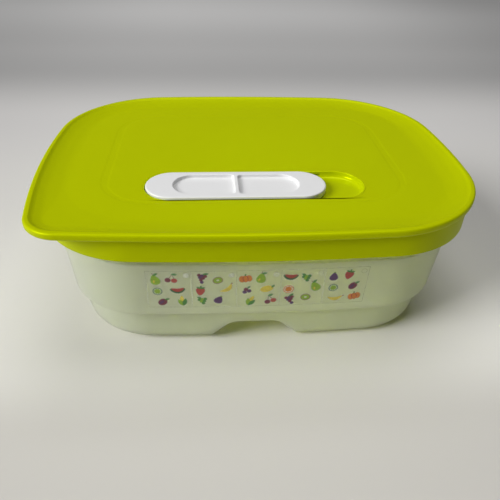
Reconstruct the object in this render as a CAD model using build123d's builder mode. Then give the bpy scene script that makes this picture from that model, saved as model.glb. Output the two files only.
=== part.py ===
"""Produce keeper: a translucent tub with a soft clip-on lid and a sliding vent in the lid.

Millimetres, +Z up, and -Y is the front. The origin is the centre of the footprint, on the
surface that the keeper stands on. Every horizontal outline is the lid's bowed rounded
rectangle drawn further in: an "inset" is measured inwards from the lid's edge.
"""

import os

from build123d import *

# Plan shape, shared by every outline
lid_length = 260.0
lid_width = 202.0
end_bow = 10.5
side_bow = 5.8
lid_corner = 69.0
tab_corner = 21.0
body_corner = 62.0
base_corner = 65.0

# Heights
overall_height = 90.0
skirt_height = 19.0
panel_drop = 3.0
panel_thickness = 1.6
step_height = 26.4
shoulder_drop = 12.4
shoulder_rise = 3.0

# Tub wall
tub_wall = 1.6
tub_floor = 2.0
foot_inset = 20.0
band_inset = 17.0
step_inset = 13.8
shoulder_inset = 10.4
rim_clearance = 0.5
foot_round = 9.0
step_round = 1.2
rim_round = 0.5

# Grip recess under the rim, front and back
grip_length = 182.0
grip_height = 9.0
grip_depth = 2.0
grip_corner = 8.0

# Channel under the base, from front to back
channel_foot_width = 52.0
channel_top_width = 28.0
channel_height = 16.5
channel_round = 10.0
channel_centre_x = -3.3

# Ridges that hold the food clear of the wet floor
ridge_count = 5
ridge_pitch = 12.0
ridge_width = 1.6
ridge_height = 2.6
ridge_length = 120.0
ridge_margin = 4.0

# Lid
bead_top_round = 2.2
bead_edge_round = 2.0
crest_inset = 2.8
crest_round = 0.7
flank_inset = 4.6
flank_drop = 0.9
sweep_inset = 9.0
sweep_drop = 2.0
dish_inset = 17.0
skirt_inset = 4.2
skirt_wall = 1.5
skirt_edge_round = 0.5
plug_wall = 1.4
plug_height = 6.0
plug_clearance = 0.4
groove_length = 180.0
groove_width = 130.0
groove_centre_x = -1.4
groove_centre_y = 0.5
groove_side = 4.5
groove_front = 2.5
groove_depth = 0.1
groove_corner = 30.0

# Vent bed, a hard tray set into the soft lid
bed_length = 126.8
bed_width = 32.2
bed_depth = 3.6
bed_rim = 1.0
bed_floor = 1.6
bed_centre_x = -2.4
bed_centre_y = -43.8
bed_fit = 0.05
bed_round = 1.0
bed_edge_round = 0.6
flange_width = 3.0
flange_thickness = 1.4
port_diameter = 6.0
port_inset = 7.0
port_pitch = 12.0

# Vent slider
slider_length = 104.0
slider_width = 30.8
slider_proud = 0.9
end_gap = 0.5
slide_clearance = 0.1
slider_top_round = 0.8
slider_foot_round = 1.0
well_length = 35.3
well_width = 22.8
well_rib = 2.2
well_depth = 2.0
well_corner = 2.2
well_bottom_round = 1.5
well_rim_round = 0.4
tongue_length = 60.0
tongue_reach = 0.6
tongue_thickness = 0.8
tongue_height = 1.0
rail_clearance = 0.3

# Levels and insets worked out from the above
panel_top = overall_height - panel_drop
panel_bottom = panel_top - panel_thickness
skirt_bottom = overall_height - skirt_height
shoulder_height = panel_bottom - shoulder_drop
rim_start = shoulder_height + shoulder_rise
rim_top = panel_bottom
rim_inset = skirt_inset + skirt_wall + rim_clearance
plug_inset = rim_inset + tub_wall + plug_clearance
ledge_top = step_height + tub_wall
grip_bottom = shoulder_height - grip_height
floor_inset = foot_inset + foot_round

# Vent levels and places worked out from the above
bed_floor_top = panel_top - bed_depth
bed_bottom = bed_floor_top - bed_floor
slider_bottom = bed_floor_top + slide_clearance
slider_top = panel_top + slider_proud
slider_travel = bed_length - slider_length - 2 * end_gap
slider_centre_x = bed_centre_x + (slider_length - bed_length) / 2 + end_gap
tongue_bottom = slider_bottom + tongue_height
tongue_top = tongue_bottom + tongue_thickness


def outline(height: float, inset: float, corner: float = body_corner, tab: float = 0.0) -> Sketch:
    """Draw the bowed outline at a height, a given inset inside the lid's edge.

    A tab radius other than zero gives the front left corner a tighter radius of its own.
    """
    end_x = lid_length / 2 - end_bow
    side_y = lid_width / 2 - side_bow
    far_front_left = (-lid_length, -lid_width, height)
    with BuildSketch(Plane.XY.offset(height)) as shape:
        with BuildLine():
            ThreePointArc((-end_x, -side_y), (0, -lid_width / 2), (end_x, -side_y))
            ThreePointArc((end_x, -side_y), (lid_length / 2, 0), (end_x, side_y))
            ThreePointArc((end_x, side_y), (0, lid_width / 2), (-end_x, side_y))
            ThreePointArc((-end_x, side_y), (-lid_length / 2, 0), (-end_x, -side_y))
        make_face()
        if inset > 0:
            offset(amount=-inset, kind=Kind.INTERSECTION)
        if tab > 0:
            fillet(shape.vertices().sort_by_distance(far_front_left)[1:], radius=corner - inset)
            fillet(shape.vertices().sort_by_distance(far_front_left)[0], radius=tab - inset)
        else:
            fillet(shape.vertices(), radius=corner - inset)
    return shape.sketch


def grip_recess(growth: float) -> Part:
    """Make the body that cuts the grip recesses, or, grown by the wall, the walls behind them."""
    half_length = grip_length / 2 + growth
    bottom = grip_bottom - growth
    core_inset = grip_depth + growth
    with BuildPart() as recess:
        with BuildSketch(Plane.XZ) as face:
            with BuildLine():
                Polyline((-half_length, shoulder_height), (-half_length, bottom),
                         (half_length, bottom), (half_length, shoulder_height), close=True)
            make_face()
            fillet(face.vertices().group_by(Axis.Y)[0], radius=grip_corner + growth)
        extrude(amount=lid_width / 2, both=True)
        loft([outline(step_height, step_inset + core_inset),
              outline(shoulder_height, shoulder_inset + core_inset)], ruled=True, mode=Mode.SUBTRACT)
    return recess.part


def base_channel(growth: float) -> Part:
    """Make the body that cuts the channel under the base, or, grown, the floor that covers it."""
    with BuildPart() as channel:
        with BuildSketch(Plane((channel_centre_x, 0, 0), (1, 0, 0), (0, -1, 0))) as face:
            with BuildLine():
                Polyline((-channel_foot_width / 2, 0), (-channel_top_width / 2, channel_height),
                         (channel_top_width / 2, channel_height), (channel_foot_width / 2, 0),
                         close=True)
            make_face()
            fillet(face.vertices().group_by(Axis.Y)[-1], radius=channel_round)
            if growth > 0:
                offset(amount=growth)
        extrude(amount=lid_width / 2, both=True)
    return channel.part


# Inside of the tub, one wall in from its outside
with BuildPart() as cavity:
    loft([outline(tub_floor, foot_inset + tub_wall, base_corner),
          outline(ledge_top, band_inset + tub_wall, base_corner)], ruled=True)
    fillet(cavity.faces().sort_by(Axis.Z)[0].edges(), radius=foot_round - tub_wall)
    loft([outline(ledge_top, step_inset + tub_wall),
          outline(shoulder_height + tub_wall / 2, shoulder_inset + tub_wall)], ruled=True)
    loft([outline(shoulder_height + tub_wall / 2, shoulder_inset + tub_wall),
          outline(rim_start + tub_wall / 2, rim_inset + tub_wall)], ruled=True)
    extrude(outline(rim_start + tub_wall / 2, rim_inset + tub_wall), amount=rim_top - rim_start)
    add(grip_recess(tub_wall), mode=Mode.SUBTRACT)
    add(base_channel(tub_wall), mode=Mode.SUBTRACT)

# Tub: tapering wall with a step, a shoulder and a rim, on two feet with a channel between
with BuildPart() as tub:
    loft([outline(0, foot_inset, base_corner), outline(step_height, band_inset, base_corner)],
         ruled=True)
    fillet(tub.faces().sort_by(Axis.Z)[0].edges(), radius=foot_round)
    loft([outline(step_height, step_inset), outline(shoulder_height, shoulder_inset)], ruled=True)
    loft([outline(shoulder_height, shoulder_inset), outline(rim_start, rim_inset)], ruled=True)
    extrude(outline(rim_start, rim_inset), amount=rim_top - rim_start)
    step_face = tub.faces().filter_by(Axis.Z).filter_by_position(Axis.Z, step_height, step_height)
    fillet(step_face[0].outer_wire().edges(), radius=step_round)
    add(grip_recess(0), mode=Mode.SUBTRACT)
    add(base_channel(0), mode=Mode.SUBTRACT)
    add(cavity.part, mode=Mode.SUBTRACT)
    fillet(tub.faces().sort_by(Axis.Z)[-1].edges(), radius=rim_round)
    with BuildSketch(Plane.XY.offset(tub_floor)) as ridges:
        first_ridge = channel_foot_width / 2 + ridge_pitch
        for side in (-1, 1):
            ridge_places = [channel_centre_x + side * (first_ridge + i * ridge_pitch)
                            for i in range(ridge_count)]
            with Locations([(x, 0) for x in ridge_places]):
                Rectangle(ridge_width, ridge_length)
        add(outline(tub_floor, floor_inset + ridge_margin), mode=Mode.INTERSECT)
    extrude(amount=ridge_height)

# Lid: rolled bead, dished panel and skirt in one soft moulding, with a plug rib inside the rim
with BuildPart() as lid:
    extrude(outline(panel_bottom, 0, lid_corner, tab_corner), amount=panel_drop + panel_thickness)
    crest = outline(overall_height, crest_inset, lid_corner, tab_corner)
    flank = outline(overall_height - flank_drop, flank_inset, lid_corner, tab_corner)
    sweep = outline(overall_height - sweep_drop, sweep_inset, lid_corner, tab_corner)
    loft([flank, crest], ruled=True, mode=Mode.SUBTRACT)
    loft([sweep, flank], ruled=True, mode=Mode.SUBTRACT)
    loft([outline(panel_top, dish_inset), sweep], ruled=True, mode=Mode.SUBTRACT)
    fillet(lid.faces().sort_by(Axis.Z)[-1].inner_wires().edges(), radius=crest_round)
    fillet(lid.faces().sort_by(Axis.Z)[-1].outer_wire().edges(), radius=bead_top_round)
    under_face = lid.faces().sort_by(Axis.Z)[0]
    fillet(under_face.edges(), radius=bead_edge_round)
    extrude(outline(skirt_bottom, skirt_inset), amount=panel_bottom - skirt_bottom)
    extrude(outline(skirt_bottom, skirt_inset + skirt_wall), amount=panel_bottom - skirt_bottom,
            mode=Mode.SUBTRACT)
    fillet(lid.faces().sort_by(Axis.Z)[0].edges(), radius=skirt_edge_round)
    plug_bottom = panel_bottom - plug_height
    extrude(outline(plug_bottom, plug_inset), amount=plug_height)
    extrude(outline(plug_bottom, plug_inset + plug_wall), amount=plug_height, mode=Mode.SUBTRACT)
    with BuildSketch(Plane((groove_centre_x, groove_centre_y, panel_top))):
        RectangleRounded(groove_length, groove_width, groove_corner)
        RectangleRounded(groove_length - 2 * groove_side, groove_width - 2 * groove_front,
                         groove_corner - groove_side, mode=Mode.SUBTRACT)
    extrude(amount=-groove_depth, mode=Mode.SUBTRACT)
    with BuildSketch(Plane((bed_centre_x, bed_centre_y, panel_bottom))):
        SlotOverall(bed_length + 2 * (bed_rim + bed_fit), bed_width + 2 * (bed_rim + bed_fit))
    extrude(amount=panel_thickness, mode=Mode.SUBTRACT)

# Vent bed: stadium tray with a flange under the panel, slider grooves and two ports
with BuildPart() as vent_bed:
    with BuildSketch(Plane((bed_centre_x, bed_centre_y, bed_bottom))):
        SlotOverall(bed_length + 2 * bed_rim, bed_width + 2 * bed_rim)
    extrude(amount=panel_top - bed_bottom)
    with BuildSketch(Plane((bed_centre_x, bed_centre_y, panel_bottom))):
        SlotOverall(bed_length + 2 * (bed_rim + flange_width),
                    bed_width + 2 * (bed_rim + flange_width))
    extrude(amount=-flange_thickness)
    with BuildSketch(Plane((bed_centre_x, bed_centre_y, bed_floor_top))):
        SlotOverall(bed_length, bed_width)
    extrude(amount=bed_depth, mode=Mode.SUBTRACT)
    floor_centre = (bed_centre_x, bed_centre_y, bed_floor_top)
    fillet(vent_bed.faces().filter_by(Axis.Z).sort_by_distance(floor_centre)[0].edges(),
           radius=bed_round)
    fillet(vent_bed.faces().sort_by(Axis.Z)[-1].inner_wires().edges(), radius=bed_edge_round)
    rail_centre_x = slider_centre_x + slider_travel / 2
    with BuildSketch(Plane((rail_centre_x, bed_centre_y, tongue_bottom - slide_clearance))):
        Rectangle(tongue_length + slider_travel + 2 * rail_clearance,
                  bed_width + 2 * (tongue_reach + rail_clearance))
    extrude(amount=tongue_thickness + 2 * slide_clearance, mode=Mode.SUBTRACT)
    with Locations(Plane(floor_centre)):
        port_x = port_inset - bed_length / 2
        with Locations((port_x, 0), (port_x + port_pitch, 0)):
            Hole(port_diameter / 2, depth=bed_floor)

# Vent slider: stadium plate with two finger wells, held down by a tongue on each side
with BuildPart() as vent_slider:
    with BuildSketch(Plane((slider_centre_x, bed_centre_y, slider_bottom))):
        SlotOverall(slider_length, slider_width)
    extrude(amount=slider_top - slider_bottom)
    fillet(vent_slider.faces().sort_by(Axis.Z)[-1].edges(), radius=slider_top_round)
    fillet(vent_slider.faces().sort_by(Axis.Z)[0].edges(), radius=slider_foot_round)
    with BuildSketch(Plane((slider_centre_x, bed_centre_y, slider_top))) as wells:
        SlotOverall(2 * well_length + well_rib, well_width)
        Rectangle(well_rib, well_width, mode=Mode.SUBTRACT)
        fillet(wells.vertices().filter_by_position(Axis.X, slider_centre_x - well_rib,
                                                   slider_centre_x + well_rib), radius=well_corner)
    extrude(amount=-well_depth, mode=Mode.SUBTRACT)
    well_floors = vent_slider.faces().filter_by(Axis.Z).group_by(Axis.Z)[1]
    fillet(well_floors.edges(), radius=well_bottom_round)
    fillet(vent_slider.faces().sort_by(Axis.Z)[-1].inner_wires().edges(), radius=well_rim_round)
    with BuildSketch(Plane((slider_centre_x, bed_centre_y, tongue_bottom))):
        Rectangle(tongue_length, bed_width + 2 * tongue_reach)
    extrude(amount=tongue_thickness)

tub.part.label = "tub"
lid.part.label = "lid"
vent_bed.part.label = "vent_bed"
vent_slider.part.label = "vent_slider"

os.makedirs("parts", exist_ok=True)
export_step(tub.part, "parts/tub.step")
export_step(lid.part, "parts/lid.step")
export_step(vent_bed.part, "parts/vent_bed.step")
export_step(vent_slider.part, "parts/vent_slider.step")
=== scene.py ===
"""Looks of the produce keeper: lid, sliding vent and translucent tub, on a pale table.

Sizes are in millimetres and are turned to metres where a mesh gets its points. Every wall is a
skin of closed rings. A ring follows a track round the piece, and an inset is measured inwards
from that track.
"""

import logging
import math
from dataclasses import dataclass
from enum import Enum

import bmesh
import bpy
from mathutils import Matrix, Vector


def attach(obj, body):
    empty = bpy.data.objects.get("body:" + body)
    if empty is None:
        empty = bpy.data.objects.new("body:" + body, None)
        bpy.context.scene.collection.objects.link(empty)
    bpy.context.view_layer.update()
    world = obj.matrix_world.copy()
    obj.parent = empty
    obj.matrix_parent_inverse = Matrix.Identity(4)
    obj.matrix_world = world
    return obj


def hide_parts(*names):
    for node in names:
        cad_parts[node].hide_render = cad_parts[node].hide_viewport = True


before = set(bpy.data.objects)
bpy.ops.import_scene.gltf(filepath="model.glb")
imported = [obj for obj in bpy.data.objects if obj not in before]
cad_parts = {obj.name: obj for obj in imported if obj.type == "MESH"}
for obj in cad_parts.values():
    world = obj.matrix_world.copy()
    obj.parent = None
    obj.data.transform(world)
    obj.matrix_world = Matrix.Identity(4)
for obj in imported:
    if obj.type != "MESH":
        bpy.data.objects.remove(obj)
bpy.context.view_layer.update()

Place = tuple[float, float, float]
Rings = list[list[Vector]]
Section = list[tuple[float, float]]
Stations = list[tuple[Vector, Vector]]

MM = 0.001
SMOOTH_ANGLE = math.radians(35)

# Weight of the flats in the shading, and size of a new shape before its points are placed
FLAT_WEIGHT = 80
SEED_SIZE = 0.01

# Limits in mm and radians, under which a section has no room for a round
MERGE_DISTANCE = 0.001
NEARLY_STRAIGHT = 0.01
SMALLEST_TANGENT = 1e-6

# The four quarters of a track in order: whether each is on the right, and at the back
QUARTERS = ((1, 1), (-1, 1), (-1, -1), (1, -1))

# Share of a floor's width at which its straight rows run, from the middle line outwards
FLOOR_SHARES = [0.0, 0.25, 0.5, 0.75, 0.92]

log = logging.getLogger("keeper")


def hex_colour(text: str) -> tuple[float, float, float, float]:
    """Turn an sRGB hex value to the linear colour that a shader socket takes.

    Args:
        text: Six hex digits, such as "a4b400".

    Returns:
        Linear red, green and blue, with an alpha of 1.
    """
    channels = [int(text[i:i + 2], 16) / 255 for i in (0, 2, 4)]
    linear = [c / 12.92 if c <= 0.04045 else ((c + 0.055) / 1.055) ** 2.4 for c in channels]
    return (*linear, 1.0)


def add_node(tree: bpy.types.NodeTree, kind: str, settings: dict[str, object],
             links: dict[str, bpy.types.NodeSocket]) -> bpy.types.Node:
    """Add a node with its settings and its links.

    Args:
        tree: The node tree that gets the node.
        kind: Blender's name of the node type.
        settings: Properties of the node, or values of its unlinked inputs, by name.
        links: Sockets of other nodes that feed this node's inputs, by name.

    Returns:
        The new node.
    """
    node = tree.nodes.new(kind)
    for name, value in settings.items():
        if name in node.bl_rna.properties:
            setattr(node, name, value)
        else:
            node.inputs[name].default_value = value
    for name, socket in links.items():
        tree.links.new(socket, node.inputs[name])
    return node


def new_material(name: str) -> tuple[bpy.types.Material, bpy.types.NodeTree]:
    """Start a material, and give it with its node tree."""
    material = bpy.data.materials.new(name)
    material.use_nodes = True
    return material, material.node_tree


def object_coords(tree: bpy.types.NodeTree) -> bpy.types.NodeSocket:
    """Add the piece's own coordinates, in metres, to a node tree."""
    return add_node(tree, "ShaderNodeTexCoord", {}, {}).outputs["Object"]


def noise(tree: bpy.types.NodeTree, coords: bpy.types.NodeSocket, size: float, detail: float,
          roughness: float) -> bpy.types.NodeSocket:
    """Add a noise pattern whose features are size mm across.

    Args:
        tree: The node tree.
        coords: Coordinates in metres.
        size: Size of the largest features, in mm.
        detail: How many finer layers the pattern has.
        roughness: How strong each finer layer is.

    Returns:
        The pattern, from 0 to 1.
    """
    settings = {"Scale": 1 / (size * MM), "Detail": detail, "Roughness": roughness}
    return add_node(tree, "ShaderNodeTexNoise", settings, {"Vector": coords}).outputs["Fac"]


def remap(tree: bpy.types.NodeTree, value: bpy.types.NodeSocket, low: float,
          high: float) -> bpy.types.NodeSocket:
    """Turn a value from 0 to 1 to one from low to high."""
    settings = {"To Min": low, "To Max": high}
    return add_node(tree, "ShaderNodeMapRange", settings, {"Value": value}).outputs["Result"]


@dataclass(frozen=True)
class Track:
    """Closed line round a piece: its points, and at each the direction that points outwards."""

    points: tuple[Vector, ...]
    normals: tuple[Vector, ...]

    def place(self, station: int, inset: float, height: float) -> Vector:
        """Give the place at a station of the track, a given inset inside it.

        Args:
            station: Number of the track's point.
            inset: Distance inwards, negative for outwards.
            height: Height over the table.

        Returns:
            The place.
        """
        flat = self.points[station] - inset * self.normals[station]
        return Vector((flat.x, flat.y, height))

    def ring(self, inset: float, height: float) -> list[Vector]:
        """Give the ring at one inset and height."""
        return [self.place(i, inset, height) for i in range(len(self.points))]

    def rings(self, section: Section) -> Rings:
        """Give the rings of a section that is the same all the way round."""
        return [self.ring(inset, height) for inset, height in section]

    def varied_rings(self, sections: list[Section]) -> Rings:
        """Give the rings of a wall that has a section of its own at each station."""
        return [[self.place(i, *section[k]) for i, section in enumerate(sections)]
                for k in range(len(sections[0]))]


def arc(centre: Vector, radius: float, start: float, end: float, steps: int) -> Stations:
    """Step along an arc, without its last point.

    Args:
        centre: Centre of the arc.
        radius: Its radius.
        start: Angle at its start, in radians.
        end: Angle at its end.
        steps: How many points it gets.

    Returns:
        Each point with its outward direction.
    """
    steps_taken = [start + (end - start) * i / steps for i in range(steps)]
    outward = [Vector((math.cos(angle), math.sin(angle))) for angle in steps_taken]
    return [(centre + radius * normal, normal) for normal in outward]


def straight(start: Vector, end: Vector, steps: int) -> Stations:
    """Step along a straight run of a counter-clockwise track, without its last point."""
    along = (end - start).normalized()
    normal = Vector((along.y, -along.x))
    return [(start.lerp(end, i / steps), normal) for i in range(steps)]


def mirrored(stations: Stations, centre: Vector, right: int, back: int) -> Stations:
    """Move stations to a centre, and mirror them where right or back is -1."""
    return [(centre + Vector((p.x * right, p.y * back)), Vector((n.x * right, n.y * back)))
            for p, n in stations]


def track_of(stations: Stations) -> Track:
    """Make a track of points with their directions."""
    return Track(tuple(p for p, _ in stations), tuple(n for _, n in stations))


def all_round(quarters: list[Stations], centre: Vector) -> Track:
    """Join four quarters to a counter-clockwise track.

    Args:
        quarters: The quarters in the order of QUARTERS. Each is drawn as if it were the back
            right one, from the right end to the middle of the back.
        centre: Middle of the track.

    Returns:
        The closed track.
    """
    whole: Stations = []
    for (right, back), quarter in zip(QUARTERS, quarters):
        turned = mirrored(quarter, centre, right, back)
        if right * back < 0:
            turned.reverse()
        whole += turned[:-1]
    return track_of(whole)


def circles_meet(centre_a: Vector, radius_a: float, centre_b: Vector, radius_b: float) -> Vector:
    """Find where two circles cross, at the crossing that is furthest to the back right."""
    span = centre_b - centre_a
    along = (radius_a ** 2 - radius_b ** 2 + span.length_squared) / (2 * span.length)
    across = math.sqrt(radius_a ** 2 - along ** 2)
    foot = centre_a + span.normalized() * along
    sideways = Vector((-span.y, span.x)).normalized() * across
    return max(foot + sideways, foot - sideways, key=lambda p: p.x + p.y)


@dataclass(frozen=True)
class BowedPlan:
    """The keeper's plan shape: a rounded rectangle whose four sides bow outwards a little."""

    length: float = 260.0
    width: float = 202.0
    end_bow: float = 10.5
    side_bow: float = 5.8
    end_steps: int = 14
    corner_steps: int = 64
    side_steps: int = 20
    middle_steps: int = 42
    middle_half_length: float = 30.0

    def side_radius(self) -> float:
        """Give the radius of the bow in the front and the back."""
        half_side = self.length / 2 - self.end_bow
        return (half_side ** 2 + self.side_bow ** 2) / (2 * self.side_bow)

    def quarter(self, corner: float) -> Stations:
        """Step round the back right quarter, from the right end to the middle of the back.

        Args:
            corner: Radius of the corner.

        Returns:
            Each point with its outward direction, the last one in the middle of the back.
        """
        half_end = self.width / 2 - self.side_bow
        end_radius = (half_end ** 2 + self.end_bow ** 2) / (2 * self.end_bow)
        side_radius = self.side_radius()
        end_centre = Vector((self.length / 2 - end_radius, 0))
        side_centre = Vector((0, self.width / 2 - side_radius))
        centre = circles_meet(end_centre, end_radius - corner, side_centre, side_radius - corner)
        low = math.atan2(centre.y - end_centre.y, centre.x - end_centre.x)
        high = math.atan2(centre.y - side_centre.y, centre.x - side_centre.x)
        middle = math.acos(self.middle_half_length / side_radius)
        back = math.pi / 2
        stations = arc(end_centre, end_radius, 0, low, self.end_steps)
        stations += arc(centre, corner, low, high, self.corner_steps)
        stations += arc(side_centre, side_radius, high, middle, self.side_steps)
        stations += arc(side_centre, side_radius, middle, back, self.middle_steps)
        return stations + [(Vector((0, self.width / 2)), Vector((0, 1)))]

    def track(self, corner: float, tab: float = 0.0) -> Track:
        """Run the track round all four quarters, counter-clockwise from the right end.

        Args:
            corner: Radius of the corners.
            tab: Radius of the front left corner where it differs, else 0.

        Returns:
            The closed track.
        """
        front_left = (-1, -1)
        quarters = [self.quarter(tab if tab > 0 and side == front_left else corner)
                    for side in QUARTERS]
        return all_round(quarters, Vector((0, 0)))


def rounded_box_track(centre: Vector, length: float, width: float, corner: float,
                      corner_steps: int, end_steps: int, side_steps: int) -> Track:
    """Run a track round a rounded rectangle, counter-clockwise from the middle of the right end.

    A corner radius of half the width makes a stadium.

    Args:
        centre: Middle of the rectangle.
        length: Size along X.
        width: Size along Y.
        corner: Radius of the corners.
        corner_steps: Stations in each corner.
        end_steps: Stations in each half of an end.
        side_steps: Stations in each half of a side.

    Returns:
        The closed track.
    """
    half_x = length / 2
    half_y = width / 2
    flat_y = max(half_y - corner, MERGE_DISTANCE)
    flat_x = half_x - corner
    turn = math.pi / 2
    stations = straight(Vector((half_x, 0)), Vector((half_x, flat_y)), end_steps)
    stations += arc(Vector((flat_x, half_y - corner)), corner, 0, turn, corner_steps)
    stations += straight(Vector((flat_x, half_y)), Vector((0, half_y)), side_steps)
    quarter = stations + [(Vector((0, half_y)), Vector((0, 1)))]
    return all_round([quarter] * len(QUARTERS), centre)


@dataclass(frozen=True)
class Corner:
    """A corner of a wall's section: its inset and height, and the radius that rounds it."""

    inset: float
    height: float
    radius: float = 0.0


def round_section(corners: list[Corner], steps: int) -> Section:
    """Round the corners of a section with arcs.

    A rounded corner always gives steps + 1 points, so sections of the same kind match.

    Args:
        corners: The corners in order. The first and last aren't rounded.
        steps: How many chords each arc has.

    Returns:
        Inset and height of each point.
    """
    points: Section = []
    for number, corner in enumerate(corners):
        here = Vector((corner.inset, corner.height))
        if corner.radius == 0 or number in (0, len(corners) - 1):
            points.append((here.x, here.y))
            continue
        before = corners[number - 1]
        after = corners[number + 1]
        back = Vector((before.inset, before.height)) - here
        ahead = Vector((after.inset, after.height)) - here
        if back.length < MERGE_DISTANCE or ahead.length < MERGE_DISTANCE:
            points += [(here.x, here.y)] * (steps + 1)
            continue
        room_back = back.length * (0.5 if before.radius else 1.0)
        room_ahead = ahead.length * (0.5 if after.radius else 1.0)
        half_angle = back.angle(ahead) / 2
        reach = corner.radius / max(math.tan(half_angle), SMALLEST_TANGENT)
        tangent = min(reach, room_back, room_ahead)
        start = here + back.normalized() * tangent
        end = here + ahead.normalized() * tangent
        radius = tangent * math.tan(half_angle)
        if radius < MERGE_DISTANCE or half_angle > math.pi / 2 - NEARLY_STRAIGHT:
            points += [tuple(start.lerp(end, i / steps)) for i in range(steps + 1)]
            continue
        middle = (back.normalized() + ahead.normalized()).normalized()
        centre = here + middle * (radius / math.sin(half_angle))
        sweep = math.pi - 2 * half_angle
        first = start - centre
        last = end - centre
        for i in range(steps + 1):
            share = i / steps
            weight_first = math.sin((1 - share) * sweep) / math.sin(sweep)
            weight_last = math.sin(share * sweep) / math.sin(sweep)
            spoke = first * weight_first + last * weight_last
            points.append(tuple(centre + spoke))
    return points


def deselect_all() -> None:
    """Leave nothing selected, in object mode."""
    if bpy.context.object and bpy.context.object.mode != "OBJECT":
        bpy.ops.object.mode_set(mode="OBJECT")
    bpy.ops.object.select_all(action="DESELECT")


def activate(piece: bpy.types.Object) -> None:
    """Make a piece the only selected one, and the active one."""
    deselect_all()
    piece.select_set(True)
    bpy.context.view_layer.objects.active = piece


def skin(name: str, rings: Rings, capped: bool = False) -> bpy.types.Object:
    """Model a piece as a circle that is extruded from ring to ring.

    Args:
        name: Name of the piece.
        rings: The rings in order, each with the same number of places, in millimetres.
        capped: Whether the first and last ring are closed with a face.

    Returns:
        The piece, merged and with its faces pointing outwards.
    """
    deselect_all()
    count = len(rings[0])
    bpy.ops.mesh.primitive_circle_add(vertices=count, radius=rings[0][0].length * MM,
                                      fill_type="NOTHING", location=(0, 0, 0))
    piece = bpy.context.object
    piece.name = name
    piece.data.name = name
    bpy.ops.object.mode_set(mode="EDIT")
    mesh = bmesh.from_edit_mesh(piece.data)
    order = mesh.verts.layers.int.new("order")
    for number, vertex in enumerate(mesh.verts):
        vertex[order] = number
    for number, ring in enumerate(rings):
        if number == 1 and capped:
            bpy.ops.mesh.edge_face_add()
            bpy.ops.mesh.select_mode(type="EDGE")
            bpy.ops.mesh.extrude_edges_move()
        elif number:
            bpy.ops.mesh.extrude_edges_move()
        mesh = bmesh.from_edit_mesh(piece.data)
        order = mesh.verts.layers.int["order"]
        for vertex in mesh.verts:
            if vertex.select:
                vertex.co = ring[vertex[order]] * MM
        bmesh.update_edit_mesh(piece.data)
    if capped:
        bpy.ops.mesh.edge_face_add()
    bpy.ops.mesh.select_mode(type="VERT")
    bpy.ops.mesh.select_all(action="SELECT")
    bpy.ops.mesh.remove_doubles(threshold=MERGE_DISTANCE * MM)
    bpy.ops.mesh.dissolve_degenerate(threshold=MERGE_DISTANCE * MM)
    bpy.ops.mesh.normals_make_consistent(inside=False)
    bpy.ops.object.mode_set(mode="OBJECT")
    piece.data.attributes.remove(piece.data.attributes["order"])
    return piece


def join_with(piece: bpy.types.Object, tool: bpy.types.Object, operation: str) -> None:
    """Cut a tool's shape out of a piece or add it, and remove the tool.

    Args:
        piece: The piece that changes.
        tool: The closed solid that cuts or adds.
        operation: "DIFFERENCE" or "UNION".
    """
    activate(piece)
    modifier = piece.modifiers.new("shape", "BOOLEAN")
    modifier.operation = operation
    modifier.solver = "EXACT"
    modifier.object = tool
    bpy.ops.object.modifier_apply(modifier=modifier.name)
    bpy.data.objects.remove(tool)


def smooth(piece: bpy.types.Object) -> None:
    """Shade a piece smooth across its rounds, with its flats kept flat."""
    activate(piece)
    bpy.ops.object.shade_smooth_by_angle(angle=SMOOTH_ANGLE)
    weighted = piece.modifiers.new("flats", "WEIGHTED_NORMAL")
    weighted.keep_sharp = True
    weighted.weight = FLAT_WEIGHT
    bpy.ops.object.modifier_apply(modifier=weighted.name)


def dress(piece: bpy.types.Object, material: bpy.types.Material) -> None:
    """Give a piece one material."""
    piece.data.materials.clear()
    piece.data.materials.append(material)


def across(ring: list[Vector], shares: list[float], middle_y: float) -> Rings:
    """Draw a ring in to its long middle line, to close a floor or a top with straight rows.

    Args:
        ring: The ring at the floor's edge.
        shares: Share of the ring's width that each new ring keeps, 0 on the middle line.
        middle_y: Where the middle line runs.

    Returns:
        The new rings.
    """
    return [[Vector((p.x, middle_y + (p.y - middle_y) * share, p.z)) for p in ring]
            for share in shares]


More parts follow.
